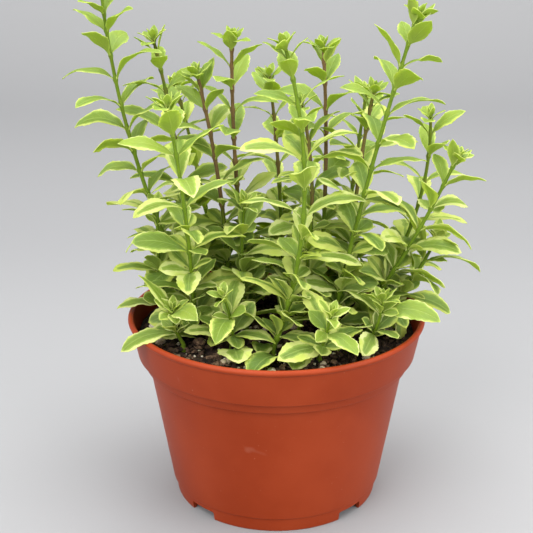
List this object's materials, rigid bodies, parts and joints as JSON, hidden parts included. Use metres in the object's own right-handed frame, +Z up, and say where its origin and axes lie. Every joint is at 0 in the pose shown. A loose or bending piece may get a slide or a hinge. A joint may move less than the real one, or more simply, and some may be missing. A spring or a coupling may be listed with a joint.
{
  "type": "potted lipstick plant",
  "caption": "Upright bushy variegated houseplant with cream-edged toothed leaves in opposite pairs, rooted in potting mix in a round terracotta-coloured plastic nursery pot.",
  "frame": {"origin": "middle of the pot's foot, on the surface it stands on", "axes": "+Z up along the pot's axis; -Y is the front seen in the picture; +X to the viewer's right. The four foot notches are at 45 degrees to X and Y"},
  "size_m": [0.2285, 0.1728, 0.2886],
  "materials": {
    "terracotta_plastic": "satin moulded polypropylene, terracotta red-brown, with faint scuffs and dust",
    "potting_mix": "dark damp peat and fibre, crumbly and fully matt",
    "foliage": "soft leaf skin, mid green in the middle with a creamy yellow margin, low sheen, lit through; green stems, reddish brown on some",
    "bark": "rough shredded bark, matt",
    "perlite": "chalky white expanded perlite, matt"
  },
  "bodies": {
    "root": {"bark_chip_01": "bark", "bark_chip_02": "bark", "bark_chip_03": "bark", "bark_chip_04": "bark", "bark_chip_05": "bark", "bark_chip_06": "bark", "basal_leaf_01": "foliage", "basal_leaf_02": "foliage", "basal_leaf_03": "foliage", "basal_leaf_04": "foliage", "basal_leaf_05": "foliage", "basal_leaf_06": "foliage", "basal_leaf_07": "foliage", "basal_leaf_08": "foliage", "basal_leaf_09": "foliage", "basal_leaf_10": "foliage", "basal_leaf_11": "foliage", "basal_leaf_12": "foliage", "basal_leaf_13": "foliage", "basal_leaf_14": "foliage", "basal_leaf_15": "foliage", "basal_leaf_16": "foliage", "basal_leaf_17": "foliage", "basal_leaf_18": "foliage", "perlite_grain_01": "perlite", "perlite_grain_02": "perlite", "perlite_grain_03": "perlite", "perlite_grain_04": "perlite", "perlite_grain_05": "perlite", "perlite_grain_06": "perlite", "pot": "terracotta_plastic", "potting_mix": "potting_mix", "shoot_01": "foliage", "shoot_02": "foliage", "shoot_03": "foliage", "shoot_04": "foliage", "shoot_05": "foliage", "shoot_06": "foliage", "shoot_07": "foliage", "shoot_08": "foliage", "shoot_09": "foliage", "shoot_10": "foliage", "shoot_11": "foliage", "shoot_12": "foliage", "shoot_13": "foliage", "shoot_14": "foliage", "shoot_15": "foliage", "shoot_16": "foliage", "shoot_17": "foliage", "shoot_18": "foliage", "shoot_19": "foliage", "shoot_20": "foliage", "shoot_21": "foliage", "shoot_22": "foliage", "shoot_23": "foliage", "shoot_24": "foliage"}
  },
  "joints": []
}
